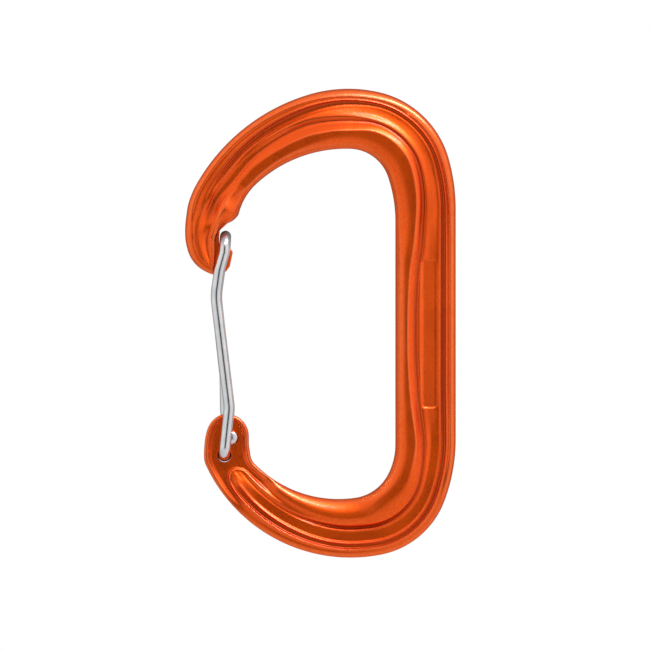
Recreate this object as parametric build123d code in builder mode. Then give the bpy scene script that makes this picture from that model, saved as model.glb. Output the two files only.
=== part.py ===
"""A wire-gate carabiner: a hot-forged aluminium body and a one-piece spring-wire gate.

Frame: millimetres, +Z up, +X towards the spine, +Y through the thickness. The origin is the
crown of the upper basket, the point inside the body from which the carabiner hangs.
The plane Y = 0 is the parting plane of the forging.

The gate is one bent wire. It is made here as two halves that meet at its crown, because the
two ends turn about two different holes when the gate opens.
"""

import os

from build123d import *

# --- body ----------------------------------------------------------------------------------
spine_x = 24.2  # outer face of the straight spine
spine_width = 12.95  # from the outer face of the spine to its inner face
middle_z = -38.0  # level at which the forged section is drawn

# Each outline leaves the straight spine as a chain of tangent arcs, (radius, degrees).
outer_top_start = -12.84  # z at which the outer face of the spine starts to curve
outer_top_arcs = [(39.47, 16.1), (20.24, 61.3), (29.71, 29.3), (41.31, 43.7), (19.36, 39.0)]
outer_bottom_start = -62.37
outer_bottom_arcs = [(37.24, 21.1), (18.26, 57.8), (34.22, 76.5)]
inner_top_start = -15.52
inner_top_arcs = [(29.79, 18.9), (8.83, 69.3), (28.42, 44.5), (13.01, 30.0)]
inner_bottom_start = -63.45
inner_bottom_arcs = [(14.02, 28.1), (9.4, 53.6), (25.24, 54.4)]

bead_half = 4.9  # half thickness at the bead that the rope runs on
long_edge_round = 3.6  # rounding of the long inner and outer edges

# Forged section, from the outer face inwards: (distance from the outer face, half thickness).
section_points = [
    (-2.0, 3.3),
    (1.1, 3.3),
    (1.6, 2.7),
    (2.1, 2.8),
    (2.6, 1.8),
    (3.1, 1.8),
    (3.6, 2.8),
    (6.4, 2.5),
    (7.2, 2.1),
    (8.6, 4.4),
    (10.0, 5.4),
]
section_end_sweep = 10.0  # the forged section stops this far into the last arc before the nose

panel_centre = (18.55, -39.7)  # plain sunk panel along the spine
panel_size = (3.3, 31.8)
panel_half = 2.2  # half thickness left under the panel

# --- nose ------------------------------------------------------------------------------------
nose_tip = (-28.0, -26.95)  # lowest point of the thick part of the nose
nose_wall_top = (-27.7, -19.0)
nose_roof = (-25.0, -16.1)  # where the notch wall runs out into the basket
hook_round = 0.25
web_half = 2.4  # half thickness of the hook that the loop of the gate straddles
hook_points = [
    (-29.0, -25.5),
    (-28.0, -26.95),
    (-27.1, -27.05),
    (-25.16, -26.29),
    (-24.35, -25.2),
    (-23.7, -22.1),
    (-24.1, -21.45),
    (-26.0, -21.35),
    (-27.0, -20.6),
    (-27.1, -18.4),
    (-26.2, -17.1),
    (-24.8, -15.9),
    (-29.0, -15.9),
]

# --- eye -------------------------------------------------------------------------------------
eye_rim_half = 2.4  # half thickness of the eye at its raised rim
eye_floor_half = 1.55  # half thickness of the sunk floor
eye_left = (-29.85, -64.66)
eye_top_left = (-28.81, -59.07)
eye_top = (-25.05, -56.88)
eye_top_right = (-20.5, -60.36)
eye_right = (-20.09, -64.66)
floor_top_left = (-27.75, -59.6)  # the sunk floor, about 1.2 inside the edge of the eye
floor_top_middle = (-25.0, -58.08)
floor_top_right = (-21.6, -60.8)
floor_right = (-21.3, -64.66)
floor_left = (-28.62, -64.66)
floor_root_left = (-27.0, -69.4)
floor_root_middle = (-23.0, -68.9)
floor_root_right = (-19.0, -68.1)
taper_start = (-11.4, -79.7)  # the arm thins from here to the eye's thickness
taper_end = (-23.2, -71.1)
hole_radius = 1.42
hole_chamfer = 0.25
front_hole_drop = 0.15  # play below the wire end in the lower hole
rear_hole_drop = 0.13  # play below the wire end in the upper hole

# --- gate ------------------------------------------------------------------------------------
wire_radius = 1.2
leg_y = 3.85  # each leg lies this far from the parting plane
crown_gap = 0.01  # each half of the gate stops this far from the parting plane
crown = (-25.25, -18.72)  # centre of the wire where the loop crosses the nose
front_end = (-25.5, -65.69)  # wire ends, which are the hinge journals
rear_end = (-24.09, -61.93)
# Bends of each leg below the crown: (x, z, bending radius of the centre line).
upper_bends = [(-25.46, -22.15, 2.5), (-26.54, -26.08, 4.0), (-27.31, -31.56, 14.0)]
front_bends = [(-24.39, -55.63, 9.0)]
rear_bends = [(-25.4, -48.75, 12.0), (-25.27, -56.49, 7.0)]
crown_round = 3.0
hole_round = 1.9
head_radius = 1.5  # domed heads formed on the wire ends
head_seat = 0.05  # gap between a head and the eye's floor
head_height = 0.85
head_round = 0.75

over = 20.0  # how far cutting shapes reach past what they cut


def follow(point, direction, arcs, turn=1):
    """Adds a chain of tangent arcs to the current line and returns the last one."""
    for radius, angle in arcs:
        arc = JernArc(point, direction, radius, turn * angle)
        point, direction = arc @ 1, arc % 1
    return arc


def forged_arm(straight_end, arcs, turn):
    """What the die leaves out on one face, from mid spine to one end of the body."""
    with BuildPart() as arm:
        with BuildLine(Plane.XZ) as path:
            Line((spine_x, middle_z), (spine_x, straight_end))
            follow((spine_x, straight_end), (0, turn), arcs, turn)
        with BuildSketch(Plane.XY.offset(middle_z)):
            with BuildLine():
                points = [(spine_x - inset, half) for inset, half in section_points]
                Polyline(*points, (points[-1][0], over), (points[0][0], over), close=True)
            make_face()
        sweep(path=path.wire())
    return arm.part


def is_long_edge(edge):
    """True for an edge of either face that follows the outlines, but not the nose's own."""
    arcs = outer_top_arcs + outer_bottom_arcs + inner_top_arcs + inner_bottom_arcs
    middle = edge.center()
    if abs(abs(middle.Y) - bead_half) > 0.01:
        return False
    if edge.geom_type == GeomType.CIRCLE:
        on_arm = min(abs(edge.radius - radius) for radius, angle in arcs) < 0.01
    else:
        on_arm = middle.X > 0
    on_eye = middle.X < eye_top_right[0] and middle.Z < eye_top[1]
    return on_arm or on_eye


def eye_outline(outer_arc, inner_arc):
    """Adds the edge of the eye, tangent to the arm's outer outline and to its inner one."""
    top = ThreePointArc(eye_top_left, eye_top, eye_top_right)
    Spline(outer_arc @ 1, eye_left, eye_top_left, tangents=(outer_arc % 1, top % 0))
    Spline(eye_top_right, eye_right, inner_arc @ 1, tangents=(top % 1, -(inner_arc % 1)))


# --- body: the thick ring, its long edges and the die-forged section ----------------------------
inner_x = spine_x - spine_width
last_radius, last_angle = outer_top_arcs[-1]
section_top_arcs = outer_top_arcs[:-1] + [(last_radius, section_end_sweep)]
front_channels = [
    forged_arm(outer_top_start, section_top_arcs, 1),
    forged_arm(outer_bottom_start, outer_bottom_arcs, -1),
]
channels = front_channels + [channel.mirror(Plane.XZ) for channel in front_channels]

with BuildPart() as body:
    with BuildSketch(Plane.XZ):
        with BuildLine():
            Line((spine_x, outer_bottom_start), (spine_x, outer_top_start))
            nose_side = follow((spine_x, outer_top_start), (0, 1), outer_top_arcs)
            TangentArc(nose_side @ 1, nose_tip, tangent=nose_side % 1)
            Line(nose_tip, nose_wall_top)
            TangentArc(nose_wall_top, nose_roof, tangent=(0, 1))
            Line((inner_x, inner_bottom_start), (inner_x, inner_top_start))
            nose_inner = follow((inner_x, inner_top_start), (0, 1), inner_top_arcs)
            Line(nose_roof, nose_inner @ 1)
            eye_outer = follow((spine_x, outer_bottom_start), (0, -1), outer_bottom_arcs, -1)
            eye_inner = follow((inner_x, inner_bottom_start), (0, -1), inner_bottom_arcs, -1)
            eye_outline(eye_outer, eye_inner)
        make_face()
    extrude(amount=bead_half, both=True)
    fillet(body.edges().filter_by(is_long_edge), long_edge_round)
    add(channels, mode=Mode.SUBTRACT)

    # The arm thins in a ramp, on both faces, down to the thickness of the eye.
    run = Vector(taper_end[0] - taper_start[0], 0, taper_end[1] - taper_start[1])
    ramp_plane = Plane(
        origin=(taper_start[0], 0, taper_start[1]),
        x_dir=run,
        z_dir=run.cross(Vector(0, 1, 0)),
    )
    with BuildSketch(ramp_plane):
        with BuildLine():
            Polyline(
                (-4.0, over),
                (-4.0, bead_half + 0.6),
                (run.length, eye_rim_half),
                (2 * over, eye_rim_half),
                (2 * over, over),
                close=True,
            )
        make_face()
        mirror(about=Plane.XZ)
    extrude(amount=over, both=True, mode=Mode.SUBTRACT)

    # Nose: the thin hook beside the thick tip, with the notch that holds the gate's loop.
    with BuildSketch(Plane.XZ) as hook:
        with BuildLine():
            Polyline(*hook_points, close=True)
        make_face()
        fillet(hook.vertices(), hook_round)
    extrude(amount=web_half, both=True)

    # Eye: a floor is sunk into both faces, which leaves a raised rim around it.
    for face_side in (1, -1):
        with BuildSketch(Plane.XZ.offset(-face_side * eye_floor_half)):
            with BuildLine():
                ThreePointArc(floor_top_left, floor_top_middle, floor_top_right)
                Spline(floor_root_left, floor_left, floor_top_left)
                Spline(floor_top_right, floor_right, floor_root_right)
                ThreePointArc(floor_root_right, floor_root_middle, floor_root_left)
            make_face()
        extrude(amount=-face_side * over, mode=Mode.SUBTRACT)

    # Panel on the spine, plain, on both faces.
    for face_side in (1, -1):
        panel_plane = Plane(
            origin=(panel_centre[0], face_side * panel_half, panel_centre[1]),
            x_dir=(1, 0, 0),
            z_dir=(0, face_side, 0),
        )
        with BuildSketch(panel_plane):
            RectangleRounded(*panel_size, 0.8)
        extrude(amount=over, mode=Mode.SUBTRACT)

    # Two holes for the wire ends, each a little longer than the wire is thick, downwards.
    for (x, z), drop in ((front_end, front_hole_drop), (rear_end, rear_hole_drop)):
        for face_side in (1, -1):
            hole_plane = Plane(
                origin=(x, face_side * eye_floor_half, z - drop),
                x_dir=(1, 0, 0),
                z_dir=(0, face_side, 0),
            )
            with BuildSketch(hole_plane):
                Circle(hole_radius + hole_chamfer)
            extrude(amount=-hole_chamfer, taper=45, mode=Mode.SUBTRACT)
            with BuildSketch(hole_plane):
                Circle(hole_radius)
            extrude(amount=-2 * eye_floor_half, mode=Mode.SUBTRACT)


# --- gate: two halves of one wire -----------------------------------------------------------
def gate_half(face_side, bends, end):
    """One leg, its half of the loop, its journal and its head, on one face of the body."""
    points = [
        (crown[0], face_side * crown_gap, crown[1]),
        (crown[0], face_side * leg_y, crown[1]),
    ]
    radii = [crown_round]
    for x, z, radius in upper_bends + bends:
        points.append((x, face_side * leg_y, z))
        radii.append(radius)
    points.append((end[0], face_side * leg_y, end[1]))
    radii.append(hole_round)
    seat = eye_floor_half + head_seat
    points.append((end[0], -face_side * (seat + head_height / 4), end[1]))
    with BuildPart() as half:
        with BuildLine() as path:
            FilletPolyline(*points, radius=radii)
        with BuildSketch(Plane.XZ.offset(-face_side * crown_gap)):
            with Locations(crown):
                Circle(wire_radius)
        sweep(path=path.wire())
        with BuildSketch(Plane.XZ.offset(face_side * seat)):
            with Locations(end):
                Circle(head_radius)
        extrude(amount=face_side * head_height)
        rims = half.edges().filter_by(GeomType.CIRCLE).sort_by(Axis.Y, reverse=face_side < 0)
        fillet(rims[0], head_round)
    return half


gate_wire_front = gate_half(-1, front_bends, front_end)
gate_wire_rear = gate_half(1, rear_bends, rear_end)

# --- export ------------------------------------------------------------------------------------
os.makedirs("parts", exist_ok=True)
body.part.label = "body"
export_step(body.part, "parts/body.step")
gate_wire_front.part.label = "gate_wire_front"
export_step(gate_wire_front.part, "parts/gate_wire_front.step")
gate_wire_rear.part.label = "gate_wire_rear"
export_step(gate_wire_rear.part, "parts/gate_wire_rear.step")
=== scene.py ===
import math

import bmesh
import bpy
import numpy as np
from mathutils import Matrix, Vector
from mathutils.kdtree import KDTree


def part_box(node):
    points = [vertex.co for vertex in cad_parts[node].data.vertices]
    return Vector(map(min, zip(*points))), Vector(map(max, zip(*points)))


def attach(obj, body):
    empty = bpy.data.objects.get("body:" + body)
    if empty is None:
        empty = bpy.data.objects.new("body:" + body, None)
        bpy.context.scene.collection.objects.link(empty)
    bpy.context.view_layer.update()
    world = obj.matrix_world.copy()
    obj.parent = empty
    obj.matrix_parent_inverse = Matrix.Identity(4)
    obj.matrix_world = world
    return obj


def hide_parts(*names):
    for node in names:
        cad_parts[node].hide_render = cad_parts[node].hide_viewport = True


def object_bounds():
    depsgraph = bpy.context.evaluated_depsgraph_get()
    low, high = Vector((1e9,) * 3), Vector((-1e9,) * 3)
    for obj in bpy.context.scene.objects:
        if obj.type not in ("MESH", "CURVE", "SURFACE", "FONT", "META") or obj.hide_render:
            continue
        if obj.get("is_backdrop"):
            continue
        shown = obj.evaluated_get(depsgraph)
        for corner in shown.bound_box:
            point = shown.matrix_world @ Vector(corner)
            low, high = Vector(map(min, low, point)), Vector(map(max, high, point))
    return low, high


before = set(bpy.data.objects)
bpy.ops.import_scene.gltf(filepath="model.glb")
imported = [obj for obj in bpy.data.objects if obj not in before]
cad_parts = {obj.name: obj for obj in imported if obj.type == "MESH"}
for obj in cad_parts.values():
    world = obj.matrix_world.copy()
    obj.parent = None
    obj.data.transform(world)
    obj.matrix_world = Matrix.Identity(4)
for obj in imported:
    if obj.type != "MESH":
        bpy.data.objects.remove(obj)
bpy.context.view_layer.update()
scene = bpy.context.scene
MM = 0.001
NOTHING = 1e-9
body_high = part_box("body")[1]

# ---------------------------------------------------------------- outlines of the body, in mm
# The starts, radii and angles of these chains repeat those of the CAD. They were not chosen by
# hand: a least-squares fit to the photographed outline made them.
SPINE_X = body_high.x / MM
SPINE_WIDTH = 12.95
OUTER_TOP_START = (SPINE_X, -12.84)
OUTER_TOP_ARCS = [(39.47, 16.1), (20.24, 61.3), (29.71, 29.3), (41.31, 43.7), (19.36, 39.0)]
OUTER_BOTTOM_START = (SPINE_X, -62.37)
OUTER_BOTTOM_ARCS = [(37.24, 21.1), (18.26, 57.8), (34.22, 76.5)]
INNER_TOP_START = (SPINE_X - SPINE_WIDTH, -15.52)
INNER_TOP_ARCS = [(29.79, 18.9), (8.83, 69.3), (28.42, 44.5), (13.01, 34.0)]
INNER_BOTTOM_START = (SPINE_X - SPINE_WIDTH, -63.45)
INNER_BOTTOM_ARCS = [(14.02, 28.1), (9.4, 53.6), (25.24, 54.4)]


def on_arcs(start, arcs, turn, swept):
    """Point of a chain of tangent arcs that leaves start along +Z (turn 1) or -Z (turn -1)."""
    point = np.array(start, float)
    heading = math.radians(90 * turn)
    for radius, angle in arcs:
        used = min(angle, swept)
        centre = point + turn * radius * np.array([-math.sin(heading), math.cos(heading)])
        heading += turn * math.radians(used)
        point = centre - turn * radius * np.array([-math.sin(heading), math.cos(heading)])
        swept -= used
        if swept <= NOTHING:
            break
    return point


def hermite(knots, values, at):
    """Smooth curve through values at knots, without overshoot; values may have columns."""
    knots, values, at = np.asarray(knots, float), np.asarray(values, float), np.asarray(at, float)
    flat = values.reshape(len(knots), -1)
    gap = np.diff(knots)[:, None]
    slope = np.diff(flat, axis=0) / gap
    tangent = np.zeros_like(flat)
    same = slope[:-1] * slope[1:] > 0
    w1, w2 = 2 * gap[1:] + gap[:-1], gap[1:] + 2 * gap[:-1]
    with np.errstate(divide="ignore", invalid="ignore"):
        mean = (w1 + w2) / (w1 / slope[:-1] + w2 / slope[1:])
    tangent[1:-1] = np.where(same, mean, 0)
    tangent[0], tangent[-1] = slope[0], slope[-1]
    where = np.clip(np.searchsorted(knots, at) - 1, 0, len(knots) - 2)
    width = gap[where]
    u = ((at - knots[where]) / width[:, 0])[:, None]
    u = np.clip(u, 0, 1)
    out = (
        (2 * u**3 - 3 * u**2 + 1) * flat[where]
        + (u**3 - 2 * u**2 + u) * width * tangent[where]
        + (-2 * u**3 + 3 * u**2) * flat[where + 1]
        + (u**3 - u**2) * width * tangent[where + 1]
    )
    return out.reshape((len(at),) + values.shape[1:])


def spline_through(points, tangents, samples):
    """Smooth curve through points, parametrised from 0 to 1 by chord length."""
    points = np.asarray(points, float)
    chord = np.r_[0, np.cumsum(np.hypot(*np.diff(points, axis=0).T))]
    t = chord / chord[-1]
    m = np.zeros_like(points)
    m[1:-1] = (points[2:] - points[:-2]) / (t[2:] - t[:-2])[:, None]
    m[0] = np.array(tangents[0]) * chord[-1]
    m[-1] = np.array(tangents[1]) * chord[-1]
    at = np.asarray(samples, float)
    k = np.clip(np.searchsorted(t, at) - 1, 0, len(t) - 2)
    w = (t[k + 1] - t[k])[:, None]
    u = ((at - t[k])[:, None]) / w
    return (
        (2 * u**3 - 3 * u**2 + 1) * points[k]
        + (u**3 - 2 * u**2 + u) * w * m[k]
        + (-2 * u**3 + 3 * u**2) * points[k + 1]
        + (u**3 - u**2) * w * m[k + 1]
    )


def unit(degrees):
    return (math.cos(math.radians(degrees)), math.sin(math.radians(degrees)))


# The coordinate "around" runs from 4 at the tip of the nose over 1 (top of the spine) and -1
# (bottom of the spine) to -4 at the top of the eye; from 1 to 2.5 and from -1 to -2 it counts
# quarter turns of both outlines. A pair is (coordinate, outer point, inner point), in mm.
NOSE_BLEND, NOSE_JOIN = 2.5, 3.0  # between these the quarter turns give way to the nose
EYE_BLEND, EYE_JOIN = -2.0, -2.6  # between these the quarter turns give way to the eye
NOSE_SWEEPS = (163.6, 166.7)  # degrees of the outer and inner chains at NOSE_JOIN
WHOLE_CHAIN = 999  # degrees, more than any chain turns
CURVE_SAMPLES = 600
outer_nose_start = on_arcs(OUTER_TOP_START, OUTER_TOP_ARCS, 1, NOSE_SWEEPS[0])
inner_nose_start = on_arcs(INNER_TOP_START, INNER_TOP_ARCS, 1, NOSE_SWEEPS[1])
NOSE_PAIRS = [
    (NOSE_JOIN, tuple(outer_nose_start), tuple(inner_nose_start)),
    (3.15, (-33.65, -14.15), (-23.66, -15.33)),
    (3.3, (-33.93, -17.16), (-26.02, -16.62)),
    (3.5, (-33.74, -20.16), (-27.25, -19.0)),
    (3.65, (-32.79, -23.17), (-27.42, -22.1)),
    (3.8, (-30.97, -25.39), (-27.6, -24.68)),
    (4.0, (-27.95, -26.95), (-27.95, -26.95)),
]
outer_eye_start = on_arcs(OUTER_BOTTOM_START, OUTER_BOTTOM_ARCS, -1, WHOLE_CHAIN)
inner_eye_start = on_arcs(INNER_BOTTOM_START, INNER_BOTTOM_ARCS, -1, WHOLE_CHAIN)
EYE_PAIRS = [
    (EYE_JOIN, tuple(outer_eye_start), tuple(inner_eye_start)),
    (-2.8, (-29.83, -64.23), (-20.15, -64.2)),
    (-3.0, (-29.14, -60.15), (-20.45, -60.36)),
    (-3.5, (-27.55, -57.85), (-22.05, -57.95)),
    (-4.0, (-25.05, -56.88), (-25.05, -56.88)),
]


def dense_curve(points, headings):
    """Fine samples of a smooth curve and the share of its chord length at each given point."""
    points = np.asarray(points, float)
    chord = np.r_[0, np.cumsum(np.hypot(*np.diff(points, axis=0).T))]
    samples = spline_through(points, [unit(h) for h in headings], np.linspace(0, 1, CURVE_SAMPLES))
    return samples, chord / chord[-1]


def on_curve(curve, c, knots):
    """Point of a dense curve at the coordinate c, given the coordinates of its own points."""
    samples, shares = curve
    share = np.interp(c, knots, shares) if knots[0] < knots[-1] else np.interp(-c, -knots, shares)
    along = np.linspace(0, 1, len(samples))
    return np.array([np.interp(share, along, samples[:, k]) for k in (0, 1)])


# Each curve is given its headings at both ends, in degrees from +X towards +Z.
nose_knots = np.array([p[0] for p in NOSE_PAIRS])
outer_nose = dense_curve([p[1] for p in NOSE_PAIRS], (254, -15))
inner_nose = dense_curve([p[2] for p in NOSE_PAIRS], (240, 262))
eye_knots = np.array([p[0] for p in EYE_PAIRS])
outer_eye = dense_curve([p[1] for p in EYE_PAIRS], (114.6, 0))
inner_eye = dense_curve([p[2] for p in EYE_PAIRS], (133.9, 180))
bottom_sweep_outer = sum(a for r, a in OUTER_BOTTOM_ARCS)
bottom_sweep_inner = sum(a for r, a in INNER_BOTTOM_ARCS)


def rails(c):
    """Outer and inner outline points at the coordinate c."""
    if c >= NOSE_JOIN:
        return on_curve(outer_nose, c, nose_knots), on_curve(inner_nose, c, nose_knots)
    if c >= 1:
        mix = max(0.0, (c - NOSE_BLEND) / (NOSE_JOIN - NOSE_BLEND))
        even = (min(c, NOSE_BLEND) - 1) * 90
        sweeps = [even * (1 - mix) + sweep * mix for sweep in NOSE_SWEEPS]
        return (
            on_arcs(OUTER_TOP_START, OUTER_TOP_ARCS, 1, sweeps[0]),
            on_arcs(INNER_TOP_START, INNER_TOP_ARCS, 1, sweeps[1]),
        )
    if c >= -1:
        share = (1 - c) / 2
        return (
            np.array(OUTER_TOP_START) * (1 - share) + np.array(OUTER_BOTTOM_START) * share,
            np.array(INNER_TOP_START) * (1 - share) + np.array(INNER_BOTTOM_START) * share,
        )
    if c >= EYE_JOIN:
        mix = max(0.0, (EYE_BLEND - c) / (EYE_BLEND - EYE_JOIN))
        even = (-max(c, EYE_BLEND) - 1) * 90
        outer_sweep = even * (1 - mix) + bottom_sweep_outer * mix
        inner_sweep = even * (1 - mix) + bottom_sweep_inner * mix
        return (
            on_arcs(OUTER_BOTTOM_START, OUTER_BOTTOM_ARCS, -1, outer_sweep),
            on_arcs(INNER_BOTTOM_START, INNER_BOTTOM_ARCS, -1, inner_sweep),
        )
    return on_curve(outer_eye, c, eye_knots), on_curve(inner_eye, c, eye_knots)


# Stations round the body: (from, to, number of steps).
STATION_RUNS = [
    (4.0, 3.6, 28),
    (3.6, 3.0, 50),
    (3.0, 2.7, 28),
    (2.7, 2.25, 34),
    (2.25, 1.0, 80),
    (1.0, 0.64, 12),
    (0.64, 0.58, 8),
    (0.58, -0.66, 28),
    (-0.66, -0.72, 8),
    (-0.72, -1.0, 10),
    (-1.0, -2.0, 60),
    (-2.0, -2.46, 40),
    (-2.46, -2.6, 36),
    (-2.6, -3.0, 34),
    (-3.0, -4.0, 40),
]
coords = [4.0]
for first, last, steps in STATION_RUNS:
    coords += list(np.linspace(first, last, steps + 1)[1:])
coords = np.array(coords)
pairs = np.array([rails(c) for c in coords])
outer_rail, inner_rail = pairs[:, 0], pairs[:, 1]
width = np.hypot(*(inner_rail - outer_rail).T)

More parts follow.
